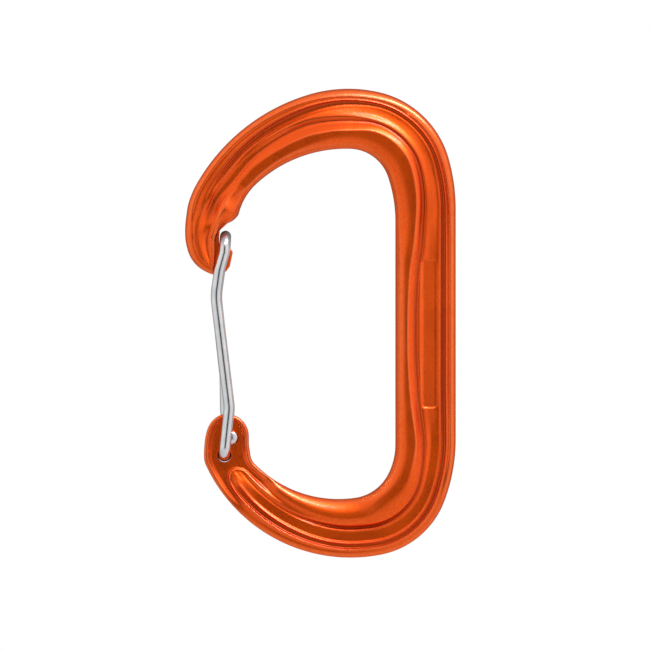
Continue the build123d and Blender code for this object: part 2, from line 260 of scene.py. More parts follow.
# ------------------------------------------------------------- half thickness of the body, mm
# Forged section at stations round the body. Each row gives the coordinate and then, for every
# line that runs along the body, its distance from the outer edge and the half thickness there:
# rim, floor, outer crest, groove (2), inner crest, land (2), lip, crease, bead foot, slope, top.
SECTIONS = [
    (4.00, (0.15, 3.8), (0.2, 3.8), (0.25, 3.8), (0.3, 3.8), (0.35, 3.8), (0.4, 3.8), (0.45, 3.8),
     (0.5, 3.8), (0.55, 3.8), (0.6, 3.8), (0.65, 3.8), (0.7, 3.8), (0.75, 3.8)),
    (3.80, (0.7, 3.6), (0.9, 3.7), (1.2, 3.8), (1.5, 3.8), (1.8, 3.8), (2, 3.75), (2.2, 3.75),
     (2.4, 3.7), (2.55, 3.7), (2.7, 3.7), (2.85, 3.7), (3, 3.7), (3.1, 3.7)),
    (3.66, (0.8, 3.6), (1.1, 3.75), (1.6, 3.85), (2.1, 3.8), (2.6, 3.8), (3, 3.75), (3.25, 3.68),
     (3.45, 3.6), (3.6, 3.5), (3.8, 3.4), (4.1, 3.4), (4.4, 3.5), (4.7, 3.6)),
    (3.50, (0.9, 3.5), (1.3, 3.65), (1.9, 3.8), (2.4, 3.75), (2.8, 3.7), (3.2, 3.6), (3.55, 3.5),
     (3.85, 3.38), (4.1, 3.25), (4.5, 3.15), (4.95, 3.25), (5.3, 3.45), (5.8, 3.6)),
    (3.30, (0.95, 3.4), (1.4, 3.45), (2.1, 3.6), (2.7, 3.6), (3.2, 3.52), (3.7, 3.42), (4.1, 3.35),
     (4.55, 3.33), (5, 3.3), (5.5, 3.25), (6, 3.4), (6.5, 3.75), (7, 4)),
    (3.18, (0.95, 3.3), (1.45, 3.18), (2.3, 3.4), (2.9, 3.45), (3.35, 3.3), (3.7, 3.15), (4.2, 3),
     (4.7, 2.98), (5.2, 3.15), (5.75, 3.45), (6.3, 3.85), (6.9, 4.25), (7.5, 4.5)),
    (3.05, (1, 3.25), (1.6, 2.92), (2.8, 3.2), (3.3, 3.3), (3.7, 3.15), (4.1, 2.95), (4.45, 2.75),
     (4.95, 2.7), (5.45, 2.78), (5.9, 3.1), (6.3, 3.55), (6.9, 4.2), (7.7, 4.6)),
    (2.90, (1, 3.2), (1.6, 2.9), (3, 3.2), (3.4, 3.15), (3.8, 3.15), (4.15, 3.1), (4.5, 2.75),
     (4.9, 2.62), (5.4, 2.62), (5.85, 2.8), (6.35, 3.25), (7, 3.85), (8, 4.25)),
    (2.75, (1.05, 3.2), (1.6, 2.95), (3, 3.15), (3.35, 2.95), (3.8, 2.95), (4.15, 3.1), (4.6, 2.8),
     (4.95, 2.65), (5.45, 2.58), (5.95, 2.62), (6.6, 2.9), (7.3, 3.35), (8.3, 3.7)),
    (2.60, (1.1, 3.2), (1.6, 2.95), (2.85, 3.15), (3.2, 2.7), (3.8, 2.65), (4.15, 3.02), (4.55, 2.8),
     (4.95, 2.68), (5.4, 2.58), (6.1, 2.58), (6.6, 2.78), (7, 3.1), (8, 3.35)),
    (2.50, (1.2, 3.2), (1.7, 2.95), (2.75, 3.15), (3.15, 2.6), (3.85, 2.55), (4.2, 2.9), (4.6, 2.72),
     (5, 2.68), (5.5, 2.58), (6.2, 2.58), (6.7, 2.83), (7.15, 3.2), (8.2, 3.5)),
    (2.25, (1.35, 3.36), (1.9, 3.16), (2.65, 3.31), (3.05, 2.71), (3.95, 2.61), (4.4, 2.9), (4.7, 2.9),
     (5.2, 3.15), (5.6, 3.1), (6.3, 2.72), (7.1, 3), (7.9, 3.5), (9, 4.1)),
    (2.00, (1.8, 3.53), (2.1, 3.23), (2.4, 3.38), (2.75, 2.83), (3.3, 2.73), (3.8, 2.88), (4.2, 2.98),
     (5, 3.23), (6.05, 3.53), (6.75, 3.24), (7.3, 3.4), (8.1, 4), (9.2, 4.6)),
    (1.75, (1.8, 3.53), (2.1, 3.28), (2.35, 3.38), (2.7, 2.88), (3.1, 2.83), (3.5, 2.93), (3.9, 2.98),
     (5, 3.23), (6.3, 3.78), (6.75, 3.44), (7.05, 3.58), (7.75, 4.15), (8.7, 4.6)),
    (1.50, (1.75, 3.53), (2.1, 3.28), (2.35, 3.38), (2.65, 2.88), (3.1, 2.83), (3.5, 2.93), (3.9, 2.98),
     (5, 3.23), (6.25, 3.78), (6.65, 3.44), (6.95, 3.58), (7.6, 4.15), (8.55, 4.65)),
    (1.25, (1.65, 3.53), (2, 3.23), (2.3, 3.38), (2.6, 2.83), (3.05, 2.78), (3.45, 2.98), (3.8, 2.98),
     (5, 3.18), (6.15, 3.63), (6.55, 3.34), (6.85, 3.48), (7.5, 4.1), (8.4, 4.65)),
    (1.00, (1.45, 3.48), (1.8, 3.09), (2.15, 3.33), (2.5, 2.78), (3, 2.73), (3.4, 3.08), (3.75, 2.88),
     (5.2, 3.2), (6.65, 3.48), (7.1, 3.23), (7.4, 3.38), (8, 4.1), (8.85, 4.65)),
    (0.75, (1.3, 3.48), (1.7, 3.09), (2.1, 3.33), (2.45, 2.78), (3, 2.73), (3.4, 3.13), (3.75, 2.93),
     (5.6, 3.16), (6.95, 3.48), (7.4, 3.28), (7.75, 3.43), (8.6, 4.25), (9.4, 4.7)),
    (0.50, (1.25, 3.48), (1.65, 3.09), (2.1, 3.33), (2.45, 2.78), (3, 2.73), (3.4, 3.13), (3.75, 2.95),
     (6, 3.2), (7.8, 3.62), (8.3, 3.36), (8.65, 3.5), (9.4, 4.1), (10.2, 4.6)),
    (0.10, (1.25, 3.48), (1.65, 3.09), (2.1, 3.33), (2.45, 2.78), (3, 2.73), (3.4, 3.13), (3.75, 2.95),
     (6.2, 3.2), (8.25, 3.62), (8.75, 3.36), (9.05, 3.5), (9.8, 4.1), (10.6, 4.6)),
    (-0.10, (1.25, 3.48), (1.65, 3.09), (2.1, 3.33), (2.45, 2.78), (3, 2.73), (3.4, 3.13), (3.75, 2.95),
     (6.2, 3.2), (8.25, 3.62), (8.75, 3.36), (9.05, 3.5), (9.8, 4.1), (10.6, 4.6)),
    (-0.50, (1.25, 3.48), (1.65, 3.09), (2.1, 3.33), (2.45, 2.78), (3, 2.73), (3.4, 3.13), (3.75, 2.95),
     (5.95, 3.2), (7.8, 3.62), (8.25, 3.36), (8.6, 3.5), (9.35, 4.1), (10.15, 4.6)),
    (-0.75, (1.2, 3.48), (1.6, 3.09), (2.05, 3.28), (2.4, 2.78), (2.95, 2.73), (3.35, 3.08), (3.7, 2.93),
     (5.7, 3.16), (7.15, 3.43), (7.65, 3.23), (8, 3.38), (8.8, 4.2), (9.5, 4.7)),
    (-1.00, (1.15, 3.4), (1.6, 3.18), (2, 3.28), (2.35, 2.78), (2.85, 2.73), (3.3, 3.03), (3.7, 2.93),
     (5.3, 2.98), (6.4, 3.33), (6.9, 3.11), (7.2, 3.28), (7.9, 3.9), (8.7, 4.6)),
    (-1.30, (1.05, 2.98), (1.45, 3.15), (1.85, 3.3), (2.2, 2.73), (2.7, 2.7), (3.15, 3), (3.6, 2.83),
     (5.3, 2.93), (5.95, 3.13), (6.4, 2.86), (6.8, 3.13), (7.6, 3.7), (9.6, 4.35)),
    (-1.60, (1, 2.85), (1.4, 3), (1.8, 3.15), (2.1, 2.68), (2.6, 2.66), (3.05, 3), (3.5, 2.73),
     (5.4, 2.8), (6, 2.93), (6.45, 2.58), (6.95, 3.08), (8, 3.6), (10.4, 4.15)),
    (-2.00, (0.95, 2.62), (1.4, 2.68), (1.8, 2.88), (2.2, 2.42), (2.7, 2.39), (3.15, 2.82), (3.65, 2.47),
     (5.6, 2.49), (5.95, 2.55), (6.5, 2.07), (7.2, 2.9), (7.8, 3.2), (9, 3.5)),
    (-2.25, (0.9, 2.45), (1.5, 2.5), (2.15, 2.8), (2.6, 2.25), (3.2, 2.2), (3.65, 2.7), (4.2, 2.3),
     (5.55, 2.3), (5.9, 2.3), (6.4, 2.18), (7.1, 2.65), (7.7, 2.65), (8.8, 2.95)),
    (-2.40, (0.9, 2.05), (1.4, 2.15), (2.35, 2.6), (2.75, 2.1), (3.4, 2.05), (3.85, 2.6), (4.4, 2.25),
     (5.5, 2.2), (5.9, 2.2), (6.4, 2.08), (7.1, 2.4), (7.7, 2.15), (9.1, 2.5)),
    (-2.48, (0.9, 1.9), (1.35, 1.85), (2.5, 2.4), (2.9, 2.1), (3.6, 2.15), (4.1, 2.75), (4.6, 2.55),
     (5.4, 2.4), (5.9, 2.3), (6.4, 2.08), (7.1, 2.25), (7.8, 1.75), (9.2, 2.45)),
    (-2.505, (0.9, 1.9), (1.35, 1.85), (2.65, 2.3), (3.05, 2.2), (3.65, 2.3), (4.2, 2.6), (4.7, 2.5),
     (5.4, 2.35), (5.9, 2.25), (6.4, 2.05), (7.1, 2.15), (7.8, 1.7), (9.2, 2.42)),
    (-2.535, (0.9, 1.9), (1.35, 1.85), (2.8, 2.15), (3.2, 2.15), (3.75, 2.2), (4.3, 2.28), (4.8, 2.28),
     (5.4, 2.15), (5.9, 2.08), (6.5, 1.95), (7.2, 1.95), (8.1, 1.6), (9.2, 2.42)),
    (-2.60, (0.9, 1.8), (1.25, 1.6), (2.9, 1.75), (3.3, 1.72), (3.9, 1.72), (4.4, 1.72), (4.9, 1.72),
     (5.6, 1.72), (5.9, 1.72), (6.6, 1.7), (7.3, 1.7), (8.1, 1.6), (9.2, 2.4)),
    (-2.80, (0.9, 2.4), (1.25, 1.55), (3, 1.55), (3.4, 1.55), (3.9, 1.55), (4.4, 1.55), (4.8, 1.55),
     (5.2, 1.55), (5.7, 1.55), (6.4, 1.55), (7.4, 1.55), (8.1, 1.55), (8.8, 2.4)),
    (-3.50, (0.8, 2.4), (1.2, 1.55), (1.7, 1.55), (2, 1.55), (2.3, 1.55), (2.6, 1.55), (2.9, 1.55),
     (3.2, 1.55), (3.5, 1.55), (3.8, 1.55), (4.1, 1.55), (4.4, 1.55), (4.7, 2.4)),
    (-4.00, (0.15, 2.4), (0.2, 1.55), (0.25, 1.55), (0.3, 1.55), (0.35, 1.55), (0.4, 1.55), (0.45, 1.55),
     (0.5, 1.55), (0.55, 1.55), (0.6, 1.55), (0.65, 1.55), (0.7, 1.55), (0.75, 2.4)),
]
ROWS_BETWEEN = [10, 4, 5, 5, 3, 5, 5, 7, 7, 5, 5, 6, 6, 16]
section_knots = np.array([-row[0] for row in SECTIONS])
section_table = np.array([[list(p) for p in row[1:]] for row in SECTIONS], float)
sections = hermite(section_knots, section_table.reshape(len(SECTIONS), -1), -coords)
sections = sections.reshape(len(coords), -1, 2)

# The ledges of the nose run into each other softly, so its sections are averaged along the body.
NOSE_BLENDS = 60
NOSE_BACK, NOSE_BACK_RUN, NOSE_TIP, NOSE_TIP_RUN = 2.7, 0.2, 3.85, 0.15  # where it starts and ends
blended = sections.copy()
for _ in range(NOSE_BLENDS):
    blended[1:-1] = (blended[:-2] + 2 * blended[1:-1] + blended[2:]) / 4
on_nose = np.clip((coords - NOSE_BACK) / NOSE_BACK_RUN, 0, 1)
on_nose *= np.clip((NOSE_TIP - coords) / NOSE_TIP_RUN, 0, 1)
sections += (blended - sections) * on_nose[:, None, None]

# Rounding of the long edges: coordinate, then for the outer and for the inner edge the half
# height of the flat side, the height of the rounding and its run from the outline.
EDGES = [
    (4.0, 2.6, 1.0, 1.0, 3.2, 0.5, 0.5),
    (3.6, 1.9, 1.6, 1.6, 2.9, 0.6, 0.7),
    (3.3, 1.5, 1.8, 1.8, 2.0, 2.0, 2.0),
    (3.15, 1.4, 1.9, 1.9, 1.6, 3.1, 3.4),
    (3.0, 1.35, 1.9, 1.9, 1.4, 3.3, 4.2),
    (2.8, 1.3, 1.9, 1.9, 1.4, 2.6, 4.2),
    (2.5, 1.4, 1.9, 1.7, 1.6, 2.4, 2.2),
    (2.25, 1.5, 1.95, 2.2, 1.8, 2.6, 2.8),
    (2.0, 1.5, 2.0, 2.5, 1.95, 2.75, 4.0),
    (1.75, 1.5, 2.0, 2.1, 2.0, 2.8, 4.6),
    (1.5, 1.5, 1.95, 1.65, 2.0, 2.8, 5.0),
    (1.0, 1.5, 1.95, 1.45, 2.0, 2.8, 4.8),
    (0.6, 1.5, 1.95, 1.45, 2.0, 2.85, 3.1),
    (-0.6, 1.5, 1.95, 1.45, 2.0, 2.85, 3.2),
    (-1.2, 1.6, 1.8, 1.4, 1.7, 2.85, 3.6),
    (-1.6, 1.7, 1.4, 1.2, 1.4, 2.8, 2.9),
    (-2.0, 1.6, 1.1, 0.9, 0.9, 2.65, 4.8),
    (-2.25, 1.5, 1.0, 0.8, 0.9, 2.15, 2.8),
    (-2.4, 1.4, 0.9, 0.8, 1.1, 1.6, 1.8),
    (-2.5, 1.4, 0.9, 0.8, 1.4, 1.1, 1.1),
    (-2.6, 1.5, 0.75, 0.75, 1.5, 0.75, 0.75),
    (-4.0, 1.5, 0.75, 0.75, 1.5, 0.75, 0.75),
]
edges = hermite([-e[0] for e in EDGES], [e[1:] for e in EDGES], -coords)
WALL_ROWS = 3
OPEN_SLOPE = 3  # rise of the limit per mm beyond a rounding
SOFT_JOIN = 0.25  # mm over which the section runs into the rounding of an edge
SECTION_FIT = 0.97  # the most of the width that the section's lines may take
OUTER_DROP, INNER_DROP = 0.25, 0.05  # fall of the section from its end lines to the outline


def edge_height(distance, side, rise, run):
    """Height of a rounded edge over the distance from the outline; it opens up beyond it."""
    inside = np.clip(1 - distance / run, 0, 1)
    return side + rise * np.sqrt(1 - inside**2) + OPEN_SLOPE * np.maximum(distance - run, 0)


def soft_min(a, b, k):
    """The lower of a and b, rounded over k where they cross."""
    h = np.clip(0.5 + 0.5 * (b - a) / k, 0, 1)
    return b * (1 - h) + a * h - k * h * (1 - h)


def smooth_step(x):
    """Smooth rise from 0 to 1 while x goes from 0 to 1."""
    x = np.clip(x, 0, 1)
    return x * x * (3 - 2 * x)


def rounded_box(x, z, centre, size, corner):
    """Signed distance to a rounded rectangle, negative inside."""
    qx = np.abs(x - centre[0]) - size[0] / 2 + corner
    qz = np.abs(z - centre[1]) - size[1] / 2 + corner
    outside = np.hypot(np.maximum(qx, 0), np.maximum(qz, 0))
    return outside + np.minimum(np.maximum(qx, qz), 0) - corner


def section_rows(i):
    """Distances from the outer edge of the rows of station i, and the section's half thickness."""
    w = width[i]
    knots = np.r_[0.0, sections[i, :, 0]]
    fit = min(1.0, SECTION_FIT * w / knots[-1]) if knots[-1] > 0 else 1.0
    knots = knots * fit
    heights = np.r_[
        sections[i, 0, 1] - OUTER_DROP, sections[i, :, 1], sections[i, -1, 1] - INNER_DROP
    ]
    ends = np.r_[knots, w]
    rows = []
    last = len(ROWS_BETWEEN) - 1
    for k, count in enumerate(ROWS_BETWEEN):
        u = np.arange(count) / count
        if k == 0:
            u = 1 - np.cos(u * math.pi / 2)
        if k == last:
            u = np.sin(u * math.pi / 2)
        rows += list(ends[k] + (ends[k + 1] - ends[k]) * u)
    rows.append(w)
    rows = np.array(rows)
    knots_all = np.maximum.accumulate(ends + np.arange(len(ends)) * 1e-5)
    return rows, hermite(knots_all, heights, rows)


ROWS_TOP = sum(ROWS_BETWEEN) + 1
distance = np.zeros((len(coords), ROWS_TOP))
height = np.zeros_like(distance)
for i in range(len(coords)):
    distance[i], height[i] = section_rows(i)

share = distance / np.maximum(width, 1e-6)[:, None]
point_x = outer_rail[:, None, 0] + (inner_rail - outer_rail)[:, None, 0] * share
point_z = outer_rail[:, None, 1] + (inner_rail - outer_rail)[:, None, 1] * share


def to_rail(rail, reach=46):
    """True distance of every surface point from a rail, looked for among the nearby stations."""
    out = np.empty_like(point_x)
    for i in range(len(coords)):
        first, last = max(0, i - reach), min(len(coords) - 1, i + reach)
        a, b = rail[first:last], rail[first + 1:last + 1]
        ab = b - a
        size = np.maximum((ab**2).sum(1), 1e-12)
        px, pz = point_x[i][:, None], point_z[i][:, None]
        u = np.clip(((px - a[:, 0]) * ab[:, 0] + (pz - a[:, 1]) * ab[:, 1]) / size, 0, 1)
        gap = np.hypot(px - a[:, 0] - u * ab[:, 0], pz - a[:, 1] - u * ab[:, 1])
        out[i] = gap.min(1)
    return out


to_outer, to_inner = to_rail(outer_rail), to_rail(inner_rail)

# The eye: a sunk floor inside a rounded rim of even width.
EYE_FLOOR, EYE_RIM = 1.55, 2.18
to_edge = np.minimum(to_outer, to_inner)
RIM_WIDTH, RIM_SLOPE = 1.6, 1.05  # width of the rim with its slope, and of the slope alone
eye = EYE_FLOOR + (EYE_RIM - EYE_FLOOR) * smooth_step((RIM_WIDTH - to_edge) / RIM_SLOPE)
LOOP = [  # end of the ribs: coordinate and distance from the outer edge of the round ridge
    (-2.30, 2.2), (-2.40, 2.35), (-2.48, 2.5), (-2.52, 2.9), (-2.545, 3.6), (-2.562, 4.5),
    (-2.57, 5.4), (-2.568, 6.2), (-2.555, 6.95), (-2.52, 7.35), (-2.48, 7.45), (-2.40, 7.45),
    (-2.30, 7.45),
]
LOOP_SAMPLES = 160


def place_at(c, d):
    """Point at the coordinate c, d mm in from the outer edge."""
    outer, inner = rails(c)
    return outer + (inner - outer) / np.linalg.norm(inner - outer) * d


loop_points = np.array([place_at(c, d) for c, d in LOOP])
loop_curve = spline_through(loop_points, [(0, 0), (0, 0)], np.linspace(0, 1, LOOP_SAMPLES))


def to_loop(px, pz):
    """Signed distance from the round ridge at the end of the ribs, positive inside it."""
    a, b = loop_curve[:-1], loop_curve[1:]
    ab = b - a
    size = np.maximum((ab**2).sum(1), 1e-12)
    u = np.clip(((px - a[:, 0]) * ab[:, 0] + (pz - a[:, 1]) * ab[:, 1]) / size, 0, 1)
    off_x, off_z = px - a[:, 0] - u * ab[:, 0], pz - a[:, 1] - u * ab[:, 1]
    gap = np.hypot(off_x, off_z)
    k = gap.argmin(1)
    every = np.arange(len(k))
    side = ab[k, 0] * off_z[every, k] - ab[k, 1] * off_x[every, k]
    return np.where(side > 0, -1, 1) * gap[every, k]


RIDGE_RISE, RIDGE_WIDTH, RIDGE_STEP = 0.06, 0.3, 0.5
LOOP_FROM, LOOP_TO = -2.33, -2.7  # coordinates between which the ridge is looked for
FAR_OUTSIDE = -9.0
EASE_FROM, RIBS_EASE, EYE_EASE = -2.36, 0.12, 0.2  # where the eye takes over, and how fast
RIM_FROM, RIM_EASE = 2.0, 0.6  # mm from the edge within which the eye's rim takes over
near_loop = (coords < LOOP_FROM) & (coords > LOOP_TO)
inside_loop = np.full_like(height, FAR_OUTSIDE)
for i in np.where(near_loop)[0]:
    inside_loop[i] = to_loop(point_x[i][:, None], point_z[i][:, None])
ease = smooth_step((EASE_FROM - coords) / RIBS_EASE)[:, None]
plateau = smooth_step((inside_loop + RIDGE_STEP) / RIDGE_STEP)
ridge = RIDGE_RISE * np.exp(-(inside_loop / RIDGE_WIDTH) ** 2)
ribs = np.maximum(EYE_FLOOR, height) * plateau + EYE_FLOOR * (1 - plateau) + ridge
ribs = np.where(near_loop[:, None], ribs, EYE_FLOOR)
in_eye = smooth_step((EASE_FROM - coords) / EYE_EASE)[:, None]
near_rim = smooth_step((RIM_FROM - to_edge) / RIM_EASE)
rimmed = ribs * (1 - near_rim) + eye * near_rim
height = height * (1 - ease) + ease * (ribs * (1 - in_eye) + in_eye * rimmed)

PANEL_CENTRE, PANEL_SIZE = (18.55, -39.7), (3.3, 31.8)
PANEL_CORNER, PANEL_OVER, PANEL_WALL = 0.8, 0.1, 0.3
PANEL_FLOOR = 2.78  # half thickness at the panel's outer side
PANEL_TILT = 0.13  # rise of its floor per mm inwards
panel = rounded_box(point_x, point_z, PANEL_CENTRE, PANEL_SIZE, PANEL_CORNER)
panel_floor = PANEL_FLOOR + PANEL_TILT * (PANEL_CENTRE[0] + PANEL_SIZE[0] / 2 - point_x)
sunk = smooth_step((PANEL_OVER - panel) / PANEL_WALL)
height = height * (1 - sunk) + np.minimum(height, panel_floor) * sunk

outer_edge = edge_height(to_outer, edges[:, 0:1], edges[:, 1:2], edges[:, 2:3])
inner_edge = edge_height(to_inner, edges[:, 3:4], edges[:, 4:5], edges[:, 5:6])
height = soft_min(height, outer_edge, SOFT_JOIN)
height = soft_min(height, inner_edge, SOFT_JOIN)

# How far each surface point stands above (+) or below (-) the mean level round it, in mm. The
# material paints the crests paler, partly as rubbed wear and partly as painted highlight, and the
# grooves darker as painted shade.
RELIEF_REACH, RELIEF_CELL, EDGE_DROP = 0.6, 0.1, 0.5
KERNEL_CELLS = 18  # three times the reach, on each side
RELIEF_MARGIN = 3  # mm beyond the outlines
kernel_cells = np.arange(-KERNEL_CELLS, KERNEL_CELLS + 1)
kernel = np.exp(-0.5 * (kernel_cells * RELIEF_CELL / RELIEF_REACH) ** 2)
kernel /= kernel.sum()
relief = np.zeros_like(height)
for i in range(len(coords)):
    cells = np.arange(-RELIEF_MARGIN, width[i] + RELIEF_MARGIN, RELIEF_CELL)
    drops = (height[i, 0] - EDGE_DROP, height[i, -1] - EDGE_DROP)
    level = np.interp(cells, distance[i], height[i], left=drops[0], right=drops[1])
    relief[i] = height[i] - np.interp(distance[i], cells, np.convolve(level, kernel, "same"))

# ------------------------------------------------------------------------- the body's mesh
stations = len(coords)
rows = []
wall = np.linspace(0, 1, WALL_ROWS + 1)[:-1]
for part in wall:
    rows.append((point_x[:, 0], height[:, 0] * part, point_z[:, 0]))
for j in range(ROWS_TOP):
    rows.append((point_x[:, j], height[:, j], point_z[:, j]))
for part in wall[::-1]:
    rows.append((point_x[:, -1], height[:, -1] * part, point_z[:, -1]))
front = np.array(rows).transpose(2, 0, 1)  # station, row, xyz with y up to the half thickness
back = front[:, -2:0:-1].copy()
back[..., 1] *= -1
loops = np.concatenate([front * (1, -1, 1), back * (1, -1, 1)], axis=1)
per_loop = loops.shape[1]
no_relief = np.zeros((stations, WALL_ROWS))
front_relief = np.hstack([no_relief, relief, no_relief])
loop_relief = np.hstack([front_relief, front_relief[:, -2:0:-1]])
vertices = loops.reshape(-1, 3) * MM
faces = []
for i in range(stations - 1):
    a, b = i * per_loop, (i + 1) * per_loop
    for j in range(per_loop):
        k = (j + 1) % per_loop
        faces.append((a + j, b + j, b + k, a + k))


MERGE, BODY_MERGE, TUBE_MERGE, DEGENERATE = 2e-6, 2e-5, 1e-7, 1e-7  # metres


def new_mesh(name, vertices, faces):
    """Object of the given vertices, in metres, and faces."""
    mesh = bpy.data.meshes.new(name)
    mesh.from_pydata([tuple(v) for v in vertices], [], faces)
    mesh.update()
    piece = bpy.data.objects.new(name, mesh)
    scene.collection.objects.link(piece)
    return piece


def clean(piece, merge=MERGE):
    """Merges vertices that lie together and turns the faces outwards."""
    bm = bmesh.new()
    bm.from_mesh(piece.data)
    bmesh.ops.remove_doubles(bm, verts=bm.verts, dist=merge)
    bmesh.ops.dissolve_degenerate(bm, dist=DEGENERATE, edges=bm.edges)
    bmesh.ops.recalc_face_normals(bm, faces=bm.faces)
    bm.to_mesh(piece.data)
    bm.free()
    piece.data.update()


def smooth(piece, degrees):
    """Smooth shading, with edges sharper than the given angle kept."""
    mesh = piece.data
    mesh.polygons.foreach_set("use_smooth", [True] * len(mesh.polygons))
    mesh.set_sharp_from_angle(angle=math.radians(degrees))


carabiner_body = new_mesh("carabiner_body", vertices, faces)
clean(carabiner_body, BODY_MERGE)

# ------------------------------------------------------------------------------ hook and holes
WEB_HALF, WEB_ROUND, WEB_ROUND_STEPS = 2.4, 0.25, 4
BODY_SHARP, WIRE_SHARP = 62, 50  # degrees above which an edge stays sharp
HOOK = [
    (-29.0, -25.5), (-28.2, -26.75), (-27.1, -27.05), (-25.16, -26.29), (-24.35, -25.2),
    (-23.7, -22.1), (-24.1, -21.45), (-26.0, -21.35), (-26.6, -20.7), (-26.66, -18.9),
    (-26.5, -17.4), (-24.8, -15.9), (-29.0, -15.9),
]


def prism(name, outline, half, bevel):
    """Plate of half thickness half on the parting plane, with rounded edges."""
    bm = bmesh.new()
    low = [bm.verts.new((x * MM, -half * MM, z * MM)) for x, z in outline]
    bottom = bm.faces.new(low)
    made = bmesh.ops.extrude_face_region(bm, geom=[bottom])
    top = [v for v in made["geom"] if isinstance(v, bmesh.types.BMVert)]
    bmesh.ops.translate(bm, verts=top, vec=(0, 2 * half * MM, 0))
    bmesh.ops.recalc_face_normals(bm, faces=bm.faces)
    bmesh.ops.bevel(
        bm, geom=list(bm.edges), offset=bevel * MM, segments=WEB_ROUND_STEPS, profile=0.5,
        affect="EDGES", clamp_overlap=True,
    )
    mesh = bpy.data.meshes.new(name)
    bm.to_mesh(mesh)
    bm.free()
    piece = bpy.data.objects.new(name, mesh)
    scene.collection.objects.link(piece)
    return piece


def combine(piece, tool, operation):
    """Applies a boolean with tool to piece, and deletes tool."""
    modifier = piece.modifiers.new("cut", "BOOLEAN")
    modifier.operation = operation
    modifier.object = tool
    modifier.solver = "MANIFOLD"
    graph = bpy.context.evaluated_depsgraph_get()
    result = bpy.data.meshes.new_from_object(piece.evaluated_get(graph))
    piece.modifiers.clear()
    piece.data = result
    bpy.data.objects.remove(tool)


def ring_faces(rings, segments):
    """Faces of a closed bar made of rings of vertices, with both its ends."""
    made = []
    for i in range(rings - 1):
        here, there = i * segments, (i + 1) * segments
        for k in range(segments):
            m = (k + 1) % segments
            made.append((here + k, here + m, there + m, there + k))
    made.append(tuple(range(segments))[::-1])
    made.append(tuple((rings - 1) * segments + k for k in range(segments)))
    return made


def turned(name, centre, profile, segments=64):
    """Solid of revolution about a line along Y through centre: profile is (radius, y), closed."""
    ring = []
    for radius, y in profile:
        for k in range(segments):
            a = 2 * math.pi * k / segments
            ring.append(((centre[0] + radius * math.cos(a)) * MM, y * MM,
                         (centre[1] + radius * math.sin(a)) * MM))
    piece = new_mesh(name, ring, ring_faces(len(profile), segments))
    clean(piece)
    return piece


FRONT_END, REAR_END = (-25.5, -65.69), (-24.09, -61.93)
HOLE_RADIUS, HOLE_CHAMFER, HOLE_MARGIN = 1.42, 0.25, 1.0
FRONT_DROP, REAR_DROP = 0.15, 0.13  # play below the wire in the lower and in the upper hole
combine(carabiner_body, prism("hook", HOOK, WEB_HALF, WEB_ROUND), "UNION")
for end, drop in ((FRONT_END, FRONT_DROP), (REAR_END, REAR_DROP)):
    hole_centre = (end[0], end[1] - drop)
    chamfered = [
        (HOLE_RADIUS + HOLE_CHAMFER + HOLE_MARGIN, -EYE_FLOOR - HOLE_MARGIN),
        (HOLE_RADIUS, -EYE_FLOOR + HOLE_CHAMFER),
        (HOLE_RADIUS, EYE_FLOOR - HOLE_CHAMFER),
        (HOLE_RADIUS + HOLE_CHAMFER + HOLE_MARGIN, EYE_FLOOR + HOLE_MARGIN),
    ]
    combine(carabiner_body, turned("hole", hole_centre, chamfered), "DIFFERENCE")
smooth(carabiner_body, BODY_SHARP)

# The cuts renumber the vertices, so each takes the relief of the nearest one of the old mesh.
RELIEF_NEAR = 0.3
places = KDTree(len(vertices))
for index, vertex in enumerate(vertices):
    places.insert(vertex, index)
places.balance()
flat_relief = loop_relief.reshape(-1)
found = [places.find(v.co) for v in carabiner_body.data.vertices]
values = [flat_relief[index] if gap < RELIEF_NEAR * MM else 0.0 for point, index, gap in found]
relief_layer = carabiner_body.data.attributes.new("relief", "FLOAT", "POINT")
relief_layer.data.foreach_set("value", values)

# ------------------------------------------------------------------------------------ the gate
WIRE_RADIUS, LEG_Y, CROWN = 1.2, 3.85, (-25.25, -18.72)
UPPER_BENDS = [(-25.46, -22.15, 2.5), (-26.54, -26.08, 4.0), (-27.31, -31.56, 14.0)]
FRONT_BENDS = [(-24.39, -55.63, 9.0)]
REAR_BENDS = [(-25.4, -48.75, 12.0), (-25.27, -56.49, 7.0)]
CROWN_ROUND, HOLE_ROUND = 3.0, 1.9
LONGEST_RUN = 0.8  # straight stretches of the wire are cut to about this length
HEAD_RADIUS, HEAD_SEAT, HEAD_HEIGHT = 1.5, 0.05, 0.85
HEAD_SUNK = 0.25  # the round of each head starts this far inside the hole
HEAD_RIM = 0.13  # height of the rounded rim under the dome
HEAD_ROUND = [  # the rim: depth beyond the wire's end, and radius
    (0.25, WIRE_RADIUS), (0.26, HEAD_RADIUS - 0.14), (0.3, HEAD_RADIUS - 0.04), (0.38, HEAD_RADIUS),
]
DOME_FROM, DOME_RINGS, DOME_CLOSED = 0.08, 12, 0.985  # the dome stops just short of its top


def filleted(points, radii, step=0.35):
    """Dense points of a polyline whose inner corners are rounded with the given radii."""
    points = [np.array(p, float) for p in points]
    out = [points[0]]
    for k, radius in enumerate(radii, start=1):
        before, corner, after = points[k - 1], points[k], points[k + 1]
        u = (before - corner) / np.linalg.norm(before - corner)
        v = (after - corner) / np.linalg.norm(after - corner)
        angle = math.acos(np.clip(u @ v, -1, 1))
        reach = radius / math.tan(angle / 2)
        centre = corner + (u + v) / np.linalg.norm(u + v) * radius / math.sin(angle / 2)
        first, last = corner + u * reach, corner + v * reach
        sweep = math.pi - angle
        count = max(4, int(math.ceil(radius * sweep / step)), int(sweep / math.radians(4)))
        a, b = first - centre, last - centre
        for i in range(count + 1):
            t = i / count
            arm = (math.sin((1 - t) * sweep) * a + math.sin(t * sweep) * b) / math.sin(sweep)
            out.append(centre + arm)
    out.append(points[-1])
    return np.array(out)


